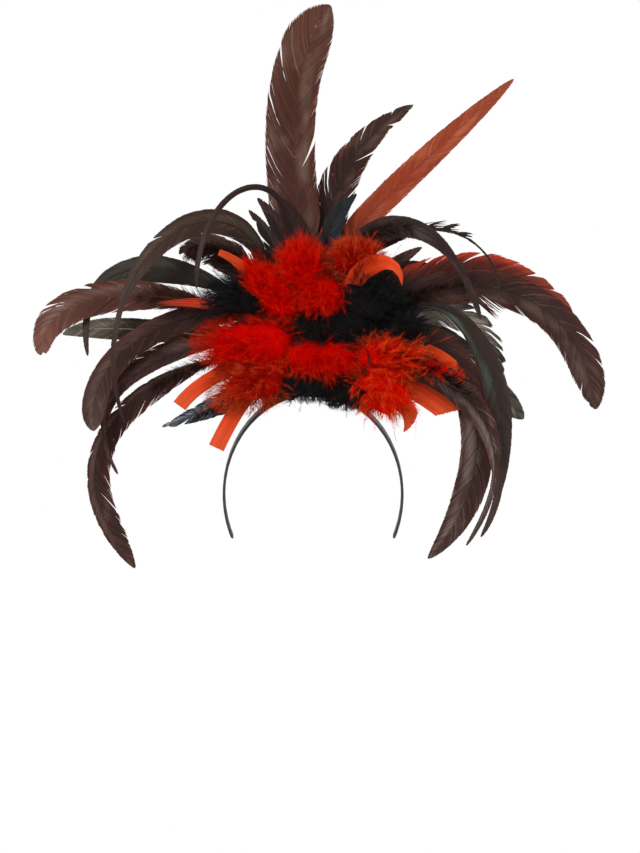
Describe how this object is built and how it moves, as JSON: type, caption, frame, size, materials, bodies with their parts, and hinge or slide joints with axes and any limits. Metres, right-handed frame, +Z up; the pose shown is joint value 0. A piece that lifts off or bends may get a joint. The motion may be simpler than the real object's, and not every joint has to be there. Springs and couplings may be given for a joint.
{
  "type": "feather headband",
  "caption": "Black satin headband with a standing felt base carrying a fan of dyed tail feathers, trimmed feather strips and red and black down tufts, shown as worn.",
  "frame": {"origin": "the inner face of the band at the crown, where it sits on the head", "axes": "+Z up with the head upright, the wearer looks along -Y, the wearer's left is at +X; the row is seen from -Y"},
  "size_m": [0.4438, 0.1229, 0.4494],
  "materials": {
    "satin": "black satin wrap",
    "felt": "black felt",
    "feather_dark": "glossy dark brown-black tail feather",
    "feather_rust": "rust brown tail feather",
    "feather_bright": "orange rust tail feather",
    "feather_green": "dark tail feather with green sheen",
    "feather_grey": "grey tail feather",
    "feather_black": "black feather",
    "strip": "orange-red trimmed feather strip",
    "down_red": "red down",
    "down_black": "black down"
  },
  "bodies": {
    "root": {"headband": "satin", "feather_base": "felt", "coque_tall_rust_left": "feather_rust", "coque_spur_high": "feather_dark", "coque_sickle_high": "feather_dark", "coque_spur_mid": "feather_dark", "coque_spur_low": "feather_dark", "coque_arc_left": "feather_dark", "coque_gloss_left": "feather_dark", "coque_green_left": "feather_green", "coque_rust_left": "feather_rust", "coque_broad_left": "feather_dark", "coque_grey_left": "feather_grey", "coque_dark_left": "feather_dark", "coque_long_left": "feather_dark", "coque_black_left": "feather_black", "coque_dark_up": "feather_dark", "coque_black_up": "feather_black", "coque_rust_up": "feather_bright", "coque_arch_right": "feather_dark", "coque_thin_right": "feather_dark", "coque_spur_right": "feather_dark", "coque_edge_right": "feather_dark", "coque_red_right": "feather_rust", "coque_big_right": "feather_dark", "coque_split_right": "feather_grey", "coque_green_right": "feather_green", "coque_grey_right": "feather_grey", "coque_broad_right": "feather_dark", "coque_curl_right": "feather_dark", "strip_left_upper": "strip", "strip_left_lower": "strip", "strip_left_tip": "strip", "strip_left_back": "strip", "strip_right_lower": "strip", "strip_right_cut": "strip", "strip_right_curl": "strip", "strip_top_curl": "strip", "strip_black": "feather_black", "stem_bare": "feather_black", "marabou_red_top_left": "down_red", "marabou_red_upper_left": "down_red", "marabou_red_top_middle": "down_red", "marabou_red_top_right": "down_red", "marabou_red_left": "down_red", "marabou_red_lower_left": "down_red", "marabou_red_middle": "down_red", "marabou_red_right": "down_red", "marabou_red_lower_right": "down_red", "marabou_red_far_right": "down_red", "marabou_black_left": "down_black", "marabou_black_right": "down_black", "marabou_black_middle": "down_black", "marabou_black_far_right": "down_black", "marabou_black_lower_left": "down_black", "marabou_black_lower_right": "down_black"}
  },
  "joints": []
}
